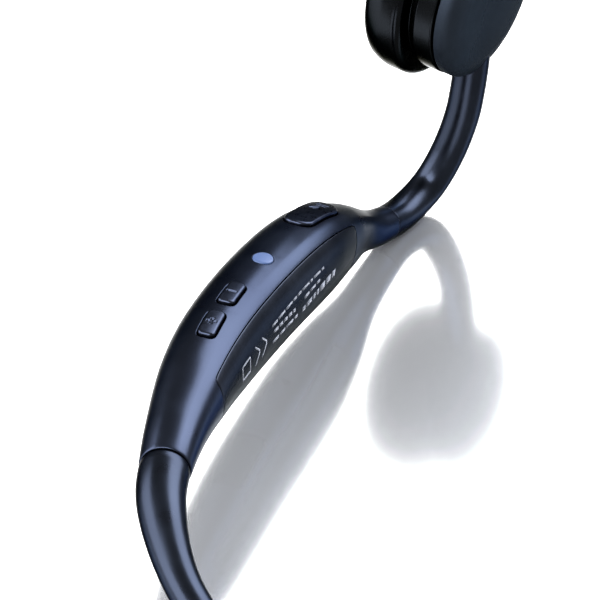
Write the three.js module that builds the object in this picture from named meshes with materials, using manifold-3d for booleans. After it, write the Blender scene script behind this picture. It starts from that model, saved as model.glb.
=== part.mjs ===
// Bone conduction headphones, lying upside down on their ear hooks and neckband.
// Millimetres. +Z is up, +Y is the wearer's forward, X = 0 is the plane of symmetry,
// and the wearer's right side, with the controls, is at -X.
// Every side piece is drawn once, on the +X side, and mirrored where it belongs at -X.

import * as THREE from 'three';
import { mergeVertices } from 'three/addons/utils/BufferGeometryUtils.js';
import Module from 'manifold-3d';

const wasm = await Module();
wasm.setup();

// ---------------------------------------------------------------- driving dimensions

// Centre line of one side, from behind the head to the transducer: outwards, forwards, up
const bandRear = [0, -69.6, 2.52];
const sideRoute = [
  [20, -68, 2.7],
  [39, -62, 4.3],
  [51.9, -54, 8],
  [59.1, -45.5, 13],
  [61.5, -38.2, 15.2],
  [64.2, -23.7, 16.6],
  [65.7, -6.2, 15.4],
  [65.7, 14.3, 12.7],
  [65, 27.3, 9],
  [63.6, 37.8, 4.5],
  [62.6, 45.6, 2.75],
  [60.8, 52.1, 4.5],
  [58.8, 54.7, 9.4],
  [57, 55.7, 16],
  [56.1, 55.8, 22],
  [55.4, 55.7, 30],
];

// Lengths along that centre line, counted forwards from the joint of neckband and pod
const podLength = 83.5;
const coverFrom = 13.5;
const coverTo = 64;
const cavityFrom = 8;
const cavityTo = 72;

// Pod sections: along, half width, half height, squareness (2 is an ellipse)
const podSections = [
  [0, 3.6, 3.6, 2],
  [8.5, 4.4, 4.9, 2.1],
  [16, 5.2, 6.1, 2.25],
  [26, 5.8, 6.9, 2.4],
  [42, 6.1, 7.3, 2.45],
  [57, 5.9, 7, 2.4],
  [67, 4.7, 5.4, 2.3],
  [75, 3.2, 3.4, 2.1],
  [podLength, 2.75, 2.75, 2],
];
const coverAngles = [136, 240];
const coverTurn = 3.4;
const wall = 1.5;

// Neckband, ear hooks and what runs inside them
const bandRadiusAtPod = 3.55;
const bandRadius = 2.5;
const bandTaper = 20;
const hookRadius = 2.75;
const boreRadius = 1.85;
const wireRadius = 0.6;
const cableRadius = 0.5;
const coreOffset = 0.8;

// Controls on the pod's top: along and angle, and size across and along the pod
const volumeUpAt = [21.9, 94];
const volumeDownAt = [29.4, 94];
const lightAt = [40.2, 95];
const multifunctionAt = [57.1, 90];
const volumeSize = [2.4, 5.3];
const multifunctionSize = [4.4, 10.8];
const buttonHeight = 0.5;
const buttonGap = 0.35;
const lightRadius = 1.5;

// Charging port in the pod's underside
const portAt = 34;
const portAngle = 276;
const microphoneAt = 52;
const microphoneAngle = 270;
const flapSize = [4.6, 10];
const flapThickness = 0.9;
const flapClearance = 0.9;

// Transducer: a drum whose seam plane is drumOffset from the ear hook's centre line
const drumTurn = THREE.MathUtils.degToRad(9);
const drumTilt = THREE.MathUtils.degToRad(6);
const hookRimHeight = 25;
const drumOffset = -0.8;
const capRadius = 15.2;
const ringRadius = 13;
const neckRadius = 12;
const drumBoreRadius = 11;
const drumBack = -12;
const capFront = -4.6;
const ringBack = -3.4;
const padFace = 3.8;

const gap = 0.3;
const quarterTurn = Math.PI / 2;

// ---------------------------------------------------------------- centre line

const halfRoute = sideRoute.map((p) => new THREE.Vector3(...p));
const mirroredRoute = halfRoute.map((p) => new THREE.Vector3(-p.x, p.y, p.z)).reverse();
const centreLine = new THREE.CatmullRomCurve3(
  [...mirroredRoute, new THREE.Vector3(...bandRear), ...halfRoute],
  false,
  'centripetal',
);
centreLine.arcLengthDivisions = 4000;
const lineLength = centreLine.getLength();

// Distance from the rear middle to the joint of neckband and pod
const jointAt = 73.5;

function framesAt(fromRear) {
  const u = 0.5 + fromRear / lineLength;
  const point = centreLine.getPointAt(u);
  const forward = centreLine.getTangentAt(u);
  const outward = new THREE.Vector3(point.x, point.y, 0);
  outward.addScaledVector(forward, -outward.dot(forward)).normalize();
  const up = new THREE.Vector3().crossVectors(outward, forward);
  return { point, outward, forward, up };
}

function podFrame(along) {
  return framesAt(jointAt + along);
}

function matrixOf({ point, outward, forward, up }) {
  return new THREE.Matrix4().makeBasis(outward, forward, up).setPosition(point);
}

// ---------------------------------------------------------------- sections

// A smooth value at a place between stations: a cubic whose slope at a station follows its neighbours
function between(stations, along, column) {
  const last = stations.length - 1;
  const place = THREE.MathUtils.clamp(along, stations[0][0], stations[last][0]);
  let i = 0;
  while (i < last - 1 && place > stations[i + 1][0]) i += 1;
  const slope = (k) => {
    const a = Math.max(k - 1, 0);
    const b = Math.min(k + 1, last);
    return (stations[b][column] - stations[a][column]) / (stations[b][0] - stations[a][0]);
  };
  const span = stations[i + 1][0] - stations[i][0];
  const t = (place - stations[i][0]) / span;
  const start = stations[i][column];
  const end = stations[i + 1][column];
  return (
    start * (2 * t ** 3 - 3 * t ** 2 + 1) +
    end * (3 * t ** 2 - 2 * t ** 3) +
    slope(i) * span * (t ** 3 - 2 * t ** 2 + t) +
    slope(i + 1) * span * (t ** 3 - t ** 2)
  );
}

function podSection(along) {
  return {
    wide: between(podSections, along, 1),
    tall: between(podSections, along, 2),
    square: between(podSections, along, 3),
  };
}

function wallAt(along) {
  return Math.min(wall, (podSection(along).wide - boreRadius) * 0.8);
}

function bandSection(fromRear) {
  const t = THREE.MathUtils.smoothstep(Math.abs(fromRear), jointAt - bandTaper, jointAt);
  const radius = THREE.MathUtils.lerp(bandRadius, bandRadiusAtPod, t);
  return { wide: radius, tall: radius, square: 2 };
}

function round(radius) {
  return () => ({ wide: radius, tall: radius, square: 2 });
}

function rounded(value, square) {
  return Math.sign(value) * Math.abs(value) ** (2 / square);
}

// Point of a section at an angle from outward towards up, inset by a depth
function sectionPoint(frame, section, angle, depth = 0) {
  const across = (section.wide - depth) * rounded(Math.cos(angle), section.square);
  const height = (section.tall - depth) * rounded(Math.sin(angle), section.square);
  return frame.point
    .clone()
    .addScaledVector(frame.outward, across)
    .addScaledVector(frame.up, height);
}

// ---------------------------------------------------------------- closed bodies

function remap(geometry, place) {
  const position = geometry.attributes.position;
  for (let i = 0; i < position.count; i += 1) {
    const p = place(position.getX(i), position.getY(i), position.getZ(i));
    position.setXYZ(i, p.x, p.y, p.z);
  }
  return geometry;
}

// A cylinder bent along the centre line, with its section and its offset set at each place
function sweep(from, to, section, { sides = 24, steps = 20, offset = [0, 0] } = {}) {
  return remap(new THREE.CylinderGeometry(1, 1, 1, sides, steps), (x, y, z) => {
    const fromRear = THREE.MathUtils.lerp(from, to, y + 0.5);
    const frame = framesAt(fromRear);
    const { wide, tall, square } = section(fromRear);
    const reach = Math.hypot(x, z);
    const across = reach === 0 ? 0 : wide * reach * rounded(x / reach, square);
    const height = reach === 0 ? 0 : tall * reach * rounded(z / reach, square);
    return frame.point
      .clone()
      .addScaledVector(frame.outward, across + offset[0])
      .addScaledVector(frame.up, height + offset[1]);
  });
}

// A box bent onto the pod's surface, between two places along it, two angles and two depths
function podPatch([from, to], [angleFrom, angleTo], [outer, inner], [rows, columns]) {
  return remap(new THREE.BoxGeometry(1, 1, 1, columns, rows, 1), (x, y, z) => {
    const along = THREE.MathUtils.lerp(from, to, y + 0.5);
    const angle = THREE.MathUtils.degToRad(THREE.MathUtils.lerp(angleFrom, angleTo, x + 0.5));
    return sectionPoint(podFrame(along), podSection(along), angle, z > 0 ? inner : outer);
  });
}

// Frame on the pod's surface: X across the pod, Y forward, Z out of the surface
function surfaceMatrix(along, degrees) {
  const angle = THREE.MathUtils.degToRad(degrees);
  const at = (place, turn) => sectionPoint(podFrame(place), podSection(place), turn);
  const step = 0.02;
  const forward = at(along + 0.5, angle).sub(at(along - 0.5, angle)).normalize();
  const around = at(along, angle + step).sub(at(along, angle - step));
  const normal = new THREE.Vector3().crossVectors(around, forward).negate().normalize();
  const across = new THREE.Vector3().crossVectors(forward, normal);
  return new THREE.Matrix4().makeBasis(across, forward, normal).setPosition(at(along, angle));
}

function roundedRectangle(width, length, radius) {
  const shape = new THREE.Shape();
  const x = width / 2 - radius;
  const y = length / 2 - radius;
  shape.absarc(x, y, radius, 0, quarterTurn);
  shape.absarc(-x, y, radius, quarterTurn, Math.PI);
  shape.absarc(-x, -y, radius, Math.PI, 3 * quarterTurn);
  shape.absarc(x, -y, radius, 3 * quarterTurn, 4 * quarterTurn);
  shape.closePath();
  return shape;
}

function slab(shape, low, high, curveSegments = 2) {
  const options = { depth: high - low, bevelEnabled: false, curveSegments };
  return new THREE.ExtrudeGeometry(shape, options).translate(0, 0, low);
}

function disc(radius, low, high, sides = 16) {
  const geometry = new THREE.CylinderGeometry(radius, radius, high - low, sides);
  return geometry.rotateX(quarterTurn).translate(0, 0, (low + high) / 2);
}

function block([width, length, height], [x, y, z]) {
  return new THREE.BoxGeometry(width, length, height).translate(x, y, z);
}

// ---------------------------------------------------------------- joining and cutting

function solid(geometry) {
  const plain = geometry.clone();
  plain.deleteAttribute('normal');
  plain.deleteAttribute('uv');
  const merged = mergeVertices(plain, 1e-4);
  return new wasm.Manifold(
    new wasm.Mesh({
      numProp: 3,
      vertProperties: new Float32Array(merged.attributes.position.array),
      triVerts: new Uint32Array(merged.index.array),
    }),
  );
}

function geometryOf(body) {
  const mesh = body.getMesh();
  const geometry = new THREE.BufferGeometry();
  geometry.setAttribute('position', new THREE.BufferAttribute(mesh.vertProperties, 3));
  geometry.setIndex(new THREE.BufferAttribute(mesh.triVerts, 1));
  geometry.computeVertexNormals();
  return geometry;
}

function join(...geometries) {
  return geometryOf(geometries.map(solid).reduce((all, next) => all.add(next)));
}

function cut(geometry, ...tools) {
  return geometryOf(tools.map(solid).reduce((rest, tool) => rest.subtract(tool), solid(geometry)));
}

function mirrored(geometry) {
  const copy = geometry.clone().scale(-1, 1, 1);
  const index = copy.index.array;
  for (let i = 0; i < index.length; i += 3) {
    [index[i], index[i + 1]] = [index[i + 1], index[i]];
  }
  return copy;
}

// ---------------------------------------------------------------- materials and meshes

function finish(color, roughness, metalness = 0) {
  return { color, roughness, metalness };
}

const satinShell = finish(0x2c3240, 0.42);
const satinCover = finish(0x262b37, 0.45);
const softSleeve = finish(0x252b38, 0.5);
const softPad = finish(0x20242b, 0.75);
const glossCase = finish(0x101316, 0.18);
const keyCap = finish(0x2a2f3b, 0.38);
const lightPlastic = finish(0x6b7dad, 0.3);
const titanium = finish(0x9a9a98, 0.35, 1);
const steel = finish(0xb8babd, 0.3, 1);
const magnetPlate = finish(0xc4c6c8, 0.25, 1);
const copper = finish(0xb06a3a, 0.4, 1);
const cableJacket = finish(0x1a1a1c, 0.6);
const boardGreen = finish(0x1e4a36, 0.5);
const darkPlastic = finish(0x1b1c1e, 0.55);
const foam = finish(0x3c3d40, 0.95);
const pouch = finish(0xaeb3b8, 0.35, 0.8);

const headphones = new THREE.Group();
headphones.name = 'bone_conduction_headphones';

function addPiece(name, look, geometry) {
  const mesh = new THREE.Mesh(geometry, new THREE.MeshStandardMaterial(look));
  mesh.name = name;
  headphones.add(mesh);
}

function addToSide(side, name, look, geometry) {
  addPiece(`${side}_${name}`, look, side === 'right' ? mirrored(geometry) : geometry);
}

// ---------------------------------------------------------------- pod

const podEnd = podLength - gap / 2;

function podShell(...openings) {
  const outer = sweep(jointAt + gap / 2, jointAt + podEnd, (s) => podSection(s - jointAt), {
    sides: 20,
    steps: 20,
  });
  const hollow = sweep(
    jointAt - 1,
    jointAt + podLength + 1,
    (s) => {
      const { wide, tall, square } = podSection(s - jointAt);
      const open = THREE.MathUtils.smoothstep(s - jointAt, cavityFrom - 6, cavityFrom + 2) *
        (1 - THREE.MathUtils.smoothstep(s - jointAt, cavityTo - 6, cavityTo + 4));
      const inset = wallAt(s - jointAt);
      return {
        wide: THREE.MathUtils.lerp(boreRadius, wide - inset, open),
        tall: THREE.MathUtils.lerp(boreRadius, tall - inset, open),
        square,
      };
    },
    { sides: 12, steps: 16 },
  );
  const coverOpening = podPatch([coverFrom, coverTo], coverAngles, [-2, wall + 1], [12, 7]);
  return cut(outer, hollow, coverOpening, ...openings);
}

function podCover() {
  const [upper, lower] = coverAngles;
  return podPatch(
    [coverFrom + gap, coverTo - gap],
    [upper + coverTurn, lower - coverTurn],
    [0, wall - gap],
    [12, 7],
  );
}

// ---------------------------------------------------------------- buttons

const buttonTravel = 0.35;
const flangeTop = -3;
const flangeThickness = 0.5;
const stemLength = 0.7;

function buttonOpening(place, [width, length]) {
  const shape = roundedRectangle(width + 2 * buttonGap, length + 2 * buttonGap, 1.2);
  return slab(shape, -3, 2).applyMatrix4(surfaceMatrix(...place));
}

function buttonCap(place, [width, length]) {
  const cap = slab(roundedRectangle(width, length, 0.9), flangeTop - 0.1, buttonHeight);
  const flangeLow = flangeTop - flangeThickness;
  const flange = slab(roundedRectangle(width + 1, length - 2.8, 0.9), flangeLow, flangeTop);
  const stem = disc(0.7, flangeLow - stemLength, flangeLow + 0.1, 10);
  return join(cap, flange, stem).applyMatrix4(surfaceMatrix(...place));
}

function pushSwitch(place) {
  const top = flangeTop - flangeThickness - stemLength - buttonTravel - 0.15;
  const body = block([2.4, 3.4, 1.8], [0, 0, top - 1.3]);
  const plunger = disc(0.6, top - 0.6, top, 10);
  return join(body, plunger).applyMatrix4(surfaceMatrix(...place));
}

// ---------------------------------------------------------------- control electronics

const boardAt = 37;
const boardLength = 32.4;
const boardMatrix = matrixOf(podFrame(boardAt));
const screwPlaces = { front: 15.4, rear: -15.4 };
const screwHeight = -2.4;
const boardNear = 1.5;
const boardFar = 2.3;
const bossEnd = 4;

function onBoard(geometry) {
  return geometry.applyMatrix4(boardMatrix);
}

// A cylinder that points outwards, across the pod
function crossPin(radius, near, far, [y, z], sides = 10) {
  const geometry = new THREE.CylinderGeometry(radius, radius, far - near, sides);
  return geometry.rotateZ(quarterTurn).translate((near + far) / 2, y, z);
}

function controlBoard() {
  const plate = block([boardFar - boardNear, boardLength, 5], [(boardNear + boardFar) / 2, 0, -1]);
  const holes = Object.values(screwPlaces).map((y) => crossPin(0.85, 0, 4, [y, screwHeight]));
  const socketNotch = block([4, 9, 3.6], [2, portAt - 0.4 - boardAt, -3.3]);
  return onBoard(cut(plate, socketNotch, ...holes));
}

function boardScrew(y) {
  const head = crossPin(1.2, boardNear - gap - 0.7, boardNear - gap, [y, screwHeight]);
  const shank = crossPin(0.5, boardNear - gap - 0.1, boardFar + 1.1, [y, screwHeight]);
  return onBoard(join(head, shank));
}

// ---------------------------------------------------------------- charging port

const flapHalfAngle = 24;
const flapEnd = portAt + flapSize[1] / 2;
const flapStart = portAt - flapSize[1] / 2;

function portOpening() {
  return podPatch(
    [flapStart - gap, flapEnd + flapClearance],
    [portAngle - flapHalfAngle - 3, portAngle + flapHalfAngle + 3],
    [-2, wall + 0.6],
    [4, 6],
  );
}

// The flap's living hinge is a barrel across its front end, just under the surface
function portFlap() {
  const plate = podPatch(
    [flapStart, flapEnd],
    [portAngle - flapHalfAngle, portAngle + flapHalfAngle],
    [0, flapThickness],
    [4, 6],
  );
  const barrel = new THREE.CylinderGeometry(0.5, 0.5, 3.4, 10)
    .rotateZ(quarterTurn)
    .translate(0, 0, -0.55)
    .applyMatrix4(surfaceMatrix(flapEnd, portAngle));
  return join(plate, barrel);
}

function usbSocket() {
  const shell = block([3.4, 8, 3], [0, -0.4, -3.7]);
  const mouth = block([2.2, 6.4, 3], [0, -0.4, -3]);
  return cut(shell, mouth).applyMatrix4(surfaceMatrix(portAt, portAngle));
}

// ---------------------------------------------------------------- transducer

const hookEnd = (() => {
  let fromRear = jointAt + podLength;
  while (framesAt(fromRear).point.z < hookRimHeight) fromRear += 0.05;
  return fromRear;
})();

const facing = new THREE.Vector3(
  -Math.cos(drumTurn) * Math.cos(drumTilt),
  -Math.sin(drumTurn) * Math.cos(drumTilt),
  -Math.sin(drumTilt),
);
const drumUp = new THREE.Vector3(0, 0, 1).addScaledVector(facing, -facing.z).normalize();
const drumCentre = framesAt(hookEnd)
  .point.clone()
  .addScaledVector(facing, drumOffset)
  .addScaledVector(drumUp, ringRadius);
const drumSide = new THREE.Vector3().crossVectors(facing, drumUp);
const drumMatrix = new THREE.Matrix4()
  .makeBasis(drumSide, facing, drumUp)
  .setPosition(drumCentre);

const drumSides = 24;

// A turned piece: its outline is a closed list of radius and place along the drum's axis
function turned(outline, sides = drumSides) {
  const points = [...outline, outline[0]].map(([r, h]) => new THREE.Vector2(r, h));
  return new THREE.LatheGeometry(points, sides).applyMatrix4(drumMatrix);
}

function drumDisc(radius, low, high, sides = drumSides) {
  return turned([[0, low], [radius, low], [radius, high], [0, high]], sides);
}

function drumRing(inner, outer, low, high, sides = drumSides) {
  return turned([[inner, low], [outer, low], [outer, high], [inner, high]], sides);
}

// The passage by which the ear hook's wire and cable enter the drum from below
function corePassage() {
  const radius = coreOffset + wireRadius + gap;
  return new THREE.CylinderGeometry(radius, radius, 5, 12)
    .rotateX(quarterTurn)
    .translate(0, -drumOffset, -ringRadius)
    .applyMatrix4(drumMatrix);
}

function transducerCase() {
  const cup = turned([
    [0, drumBack],
    [capRadius - 3.4, drumBack],
    [capRadius - 1.4, drumBack + 0.7],
    [capRadius - 0.3, drumBack + 1.9],
    [capRadius, drumBack + 3.2],
    [capRadius, capFront - 0.5],
    [capRadius - 0.5, capFront],
    [neckRadius, capFront],
    [neckRadius, -gap],
    [drumBoreRadius, -gap],
    [drumBoreRadius, drumBack + 1.4],
    [0, drumBack + 1.4],
  ]);
  return cut(cup, corePassage());
}

function transducerRing() {
  const inner = neckRadius + gap;
  const ring = turned([
    [inner, ringBack],
    [ringRadius - 0.3, ringBack],
    [ringRadius, ringBack + 0.4],
    [ringRadius, -gap / 2],
    [inner, -gap / 2],
  ]);
  return cut(ring, corePassage());
}

function contactPad() {
  const pad = turned([
    [0, 1.9],
    [10.7, 1.9],
    [10.7, gap / 2],
    [ringRadius - 0.1, gap / 2],
    [ringRadius - 0.1, 1.2],
    [ringRadius - 0.5, 2.2],
    [ringRadius - 1.5, 3.1],
    [9, padFace - 0.2],
    [5, padFace],
    [0, padFace],
  ]);
  return cut(pad, corePassage());
}

function springPlate() {
  const plate = drumDisc(drumBoreRadius - gap, -9.4, -9, 18);
  const slots = [0, 1, 2].map((i) => {
    const slot = new THREE.Shape();
    slot.absarc(0, 0, 9.4, 0, 1.5);
    slot.absarc(0, 0, 8.6, 1.5, 0, true);
    slot.closePath();
    return slab(slot, -1, 1, 4)
      .rotateZ((i * 2 * Math.PI) / 3)
      .rotateX(-quarterTurn)
      .translate(0, -9.2, 0)
      .applyMatrix4(drumMatrix);
  });
  return cut(plate, ...slots);
}

function yokeCup() {
  return turned([
    [0, -8.6],
    [8.2, -8.6],
    [8.2, -2],
    [7, -2],
    [7, -7.4],
    [0, -7.4],
  ]);
}

function addTransducer(side) {
  addToSide(side, 'transducer_case', glossCase, transducerCase());
  addToSide(side, 'transducer_ring', glossCase, transducerRing());
  addToSide(side, 'contact_pad', softPad, contactPad());
  addToSide(side, 'pad_plate', darkPlastic, drumDisc(10.3, -0.7, 1.55));
  addToSide(side, 'voice_coil', copper, drumRing(5.2, 6.4, -4.6, -1, 24));
  addToSide(side, 'yoke', steel, yokeCup());
  addToSide(side, 'magnet', magnetPlate, drumDisc(4.5, -7.1, -4, 20));
  addToSide(side, 'pole_plate', steel, drumDisc(4.5, -3.7, -2.4, 20));
  addToSide(side, 'spring_plate', steel, springPlate());
}

// ---------------------------------------------------------------- ear hook

const hookStart = jointAt + podLength + gap / 2;
const coresFrom = jointAt + cavityTo - 4;

function hookSleeve() {
  const tube = sweep(hookStart, hookEnd + 3, round(hookRadius), { sides: 12, steps: 18 });
  const bore = sweep(hookStart - 1, hookEnd + 4, round(boreRadius), { sides: 8, steps: 18 });
  const drum = drumDisc(ringRadius + gap, drumBack, padFace + 2, 36);
  return cut(tube, bore, drum);
}

// Wire and cable run beside each other, one above and one below the sleeve's centre line
function hookCore(radius, offset) {
  return sweep(coresFrom, hookEnd + 1.5, round(radius), {
    sides: 6,
    steps: 18,
    offset: [0, offset],
  });
}

function addEarHook(side) {
  addToSide(side, 'ear_hook_sleeve', softSleeve, hookSleeve());
  addToSide(side, 'ear_hook_wire', titanium, hookCore(wireRadius, coreOffset));
  addToSide(side, 'ear_hook_cable', cableJacket, hookCore(cableRadius, -coreOffset));
}

// ---------------------------------------------------------------- neckband

const bandEnd = jointAt - gap / 2;
const bandCoreEnd = jointAt + cavityFrom;

function addNeckband() {
  const tube = sweep(-bandEnd, bandEnd, bandSection, { sides: 12, steps: 34 });
  const bore = sweep(-jointAt, jointAt, round(boreRadius), { sides: 8, steps: 34 });
  const core = (radius, offset) =>
    sweep(-bandCoreEnd, bandCoreEnd, round(radius), { sides: 6, steps: 38, offset: [offset, 0] });
  addPiece('neckband_sleeve', softSleeve, cut(tube, bore));
  addPiece('neckband_wire', titanium, core(wireRadius, coreOffset));
  addPiece('neckband_cable', cableJacket, core(cableRadius, -coreOffset));
}

// ---------------------------------------------------------------- the two sides

function addControlPod() {
  const side = 'right';
  const lightHole = disc(lightRadius + 0.25, -3, 2).applyMatrix4(surfaceMatrix(...lightAt));
  const micHole = disc(0.6, -3, 2, 8).applyMatrix4(surfaceMatrix(microphoneAt, microphoneAngle));
  const bosses = Object.values(screwPlaces).map((y) =>
    onBoard(crossPin(1.5, boardFar + gap, bossEnd, [y, screwHeight])),
  );
  const pilots = Object.values(screwPlaces).map((y) =>
    onBoard(crossPin(0.8, 0, boardFar + 1.3, [y, screwHeight])),
  );
  const shell = podShell(
    buttonOpening(volumeUpAt, volumeSize),
    buttonOpening(volumeDownAt, volumeSize),
    buttonOpening(multifunctionAt, multifunctionSize),
    lightHole,
    micHole,
    portOpening(),
  );
  addToSide(side, 'pod_housing', satinShell, cut(join(shell, ...bosses), ...pilots));
  addToSide(side, 'pod_cover', satinCover, podCover());
  const buttons = {
    volume_up: [volumeUpAt, volumeSize],
    volume_down: [volumeDownAt, volumeSize],
    multifunction: [multifunctionAt, multifunctionSize],
  };
  for (const [name, [place, size]] of Object.entries(buttons)) {
    addPiece(`${name}_button`, keyCap, mirrored(buttonCap(place, size)));
    addPiece(`${name}_switch`, darkPlastic, mirrored(pushSwitch(place)));
  }
  const window = disc(lightRadius, -1.2, 0).applyMatrix4(surfaceMatrix(...lightAt));
  addPiece('status_light_window', lightPlastic, mirrored(window));
  const led = block([1.2, 2, 0.8], [0, 0, -3.2]).applyMatrix4(surfaceMatrix(...lightAt));
  addPiece('status_led', lightPlastic, mirrored(led));
  const capsule = disc(1.1, -3.1, -2.1).applyMatrix4(surfaceMatrix(microphoneAt, microphoneAngle));
  addPiece('microphone', steel, mirrored(capsule));
  addPiece('control_board', boardGreen, mirrored(controlBoard()));
  const module = onBoard(block([1.2, 9, 4.6], [0.5, 7.5, -1.2]));
  addPiece('wireless_module', steel, mirrored(module));
  for (const [end, y] of Object.entries(screwPlaces)) {
    addPiece(`board_screw_${end}`, steel, mirrored(boardScrew(y)));
  }
  addPiece('usb_socket', steel, mirrored(usbSocket()));
  addPiece('port_flap', softPad, mirrored(portFlap()));
}

function addBatteryPod() {
  const side = 'left';
  const batteryAt = 40;
  const inBattery = (geometry) => geometry.applyMatrix4(matrixOf(podFrame(batteryAt)));
  addToSide(side, 'pod_housing', satinShell, podShell());
  addToSide(side, 'pod_cover', satinCover, podCover());
  addPiece('battery_cell', pouch, inBattery(slab(roundedRectangle(5.4, 26, 1), -3.7, 3.7)));
  addPiece('battery_foam', foam, inBattery(block([0.6, 18, 4], [3.3, 0, 0])));
  const board = block([4.6, 6, 0.8], [0, -17, 0]);
  addPiece('battery_protection_board', boardGreen, inBattery(board));
}

addControlPod();
addBatteryPod();
for (const side of ['right', 'left']) {
  addEarHook(side);
  addTransducer(side);
}
addNeckband();

export default headphones;
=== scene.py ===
"""Bone conduction headphones: the looks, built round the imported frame.

The frame is in metres. Shapes below are worked out in millimetres, in the frame's own axes, and turned
into metres when a mesh is made. Each side piece is worked out at +X and mirrored where it belongs at -X.
"""

import math

import bmesh
import bpy
import numpy as np
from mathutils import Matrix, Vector

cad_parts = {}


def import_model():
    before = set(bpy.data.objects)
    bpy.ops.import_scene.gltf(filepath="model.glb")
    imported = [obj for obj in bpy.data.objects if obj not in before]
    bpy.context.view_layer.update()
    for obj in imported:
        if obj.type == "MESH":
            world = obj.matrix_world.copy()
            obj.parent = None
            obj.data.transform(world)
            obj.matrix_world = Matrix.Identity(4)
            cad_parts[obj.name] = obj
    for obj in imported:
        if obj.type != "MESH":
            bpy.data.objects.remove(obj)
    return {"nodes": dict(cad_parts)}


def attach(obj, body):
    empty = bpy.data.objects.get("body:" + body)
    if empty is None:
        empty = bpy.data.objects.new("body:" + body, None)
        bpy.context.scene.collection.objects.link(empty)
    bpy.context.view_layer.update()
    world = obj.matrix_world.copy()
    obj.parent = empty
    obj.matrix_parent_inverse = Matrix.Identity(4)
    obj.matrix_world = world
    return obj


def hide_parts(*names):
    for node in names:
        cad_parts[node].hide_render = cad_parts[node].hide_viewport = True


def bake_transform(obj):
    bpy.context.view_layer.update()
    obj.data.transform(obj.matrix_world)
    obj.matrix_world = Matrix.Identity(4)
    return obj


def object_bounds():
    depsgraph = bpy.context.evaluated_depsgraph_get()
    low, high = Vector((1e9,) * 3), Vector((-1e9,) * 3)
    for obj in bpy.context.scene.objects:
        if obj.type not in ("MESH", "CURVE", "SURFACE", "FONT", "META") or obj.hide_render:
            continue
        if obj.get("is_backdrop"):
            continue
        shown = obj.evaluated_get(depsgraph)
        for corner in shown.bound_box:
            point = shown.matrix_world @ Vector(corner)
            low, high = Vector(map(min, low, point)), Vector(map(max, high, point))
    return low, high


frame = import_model()
cad_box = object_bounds()

MM = 0.001
SIGN = {"right": -1, "left": 1}
BODY = {"right": "headband", "left": "left_side"}

# ------------------------------------------------------------------ driving dimensions, as in the frame

BAND_REAR = (0, -69.6, 2.52)
SIDE_ROUTE = [
    (20, -68, 2.7),
    (39, -62, 4.3),
    (51.9, -54, 8),
    (59.1, -45.5, 13),
    (61.5, -38.2, 15.2),
    (64.2, -23.7, 16.6),
    (65.7, -6.2, 15.4),
    (65.7, 14.3, 12.7),
    (65, 27.3, 9),
    (63.6, 37.8, 4.5),
    (62.6, 45.6, 2.75),
    (60.8, 52.1, 4.5),
    (58.8, 54.7, 9.4),
    (57, 55.7, 16),
    (56.1, 55.8, 22),
    (55.4, 55.7, 30),
]
JOINT_AT = 73.5
POD_LENGTH = 83.5

# along the pod, half width, half height, squareness
POD_SECTIONS = [
    (0, 3.6, 3.6, 2),
    (8.5, 4.4, 4.9, 2.1),
    (16, 5.2, 6.1, 2.25),
    (26, 5.8, 6.9, 2.4),
    (42, 6.1, 7.3, 2.45),
    (57, 5.9, 7, 2.4),
    (67, 4.7, 5.4, 2.3),
    (75, 3.2, 3.4, 2.1),
    (POD_LENGTH, 2.75, 2.75, 2),
]
WALL = 1.2
COVER_ALONG = (13.5, 64)
COVER_ANGLES = (136, 240)
COVER_CORNER = 0.8
BAND_RADIUS = 2.5
BAND_RADIUS_AT_POD = 3.5
BAND_TAPER = 20
HOOK_RADIUS = 2.75
BORE_RADIUS = 1.85
WIRE_RADIUS = 0.6
CABLE_RADIUS = 0.5
CORE_OFFSET = 0.8
BAND_CORE_END = JOINT_AT + 8

VOLUME_UP_AT = (21.9, 94)
VOLUME_DOWN_AT = (29.4, 94)
LIGHT_AT = (40.2, 95)
MULTIFUNCTION_AT = (57.1, 90)
VOLUME_SIZE = (2.4, 5.3)
MULTIFUNCTION_SIZE = (4.4, 10.8)
BUTTON_HEIGHT = 0.5
LIGHT_RADIUS = 1.5
PORT_ANGLE = 276
FLAP_HALF_ANGLE = 24
FLAP_ALONG = (29, 39.45)
MICROPHONE_AT = 52
MICROPHONE_ANGLE = 270

DRUM_TURN = math.radians(9)
DRUM_TILT = math.radians(6)
HOOK_RIM_HEIGHT = 25
DRUM_OFFSET = -0.8
CAP_RADIUS = 15.2
CAP_FRONT = -4.6
NECK_RADIUS = 12
RING_RADIUS = 13
RING_BACK = -3.4
DRUM_BORE_RADIUS = 11
DRUM_BACK = -12
PAD_FACE = 3.8

# ------------------------------------------------------------------ materials


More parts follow.
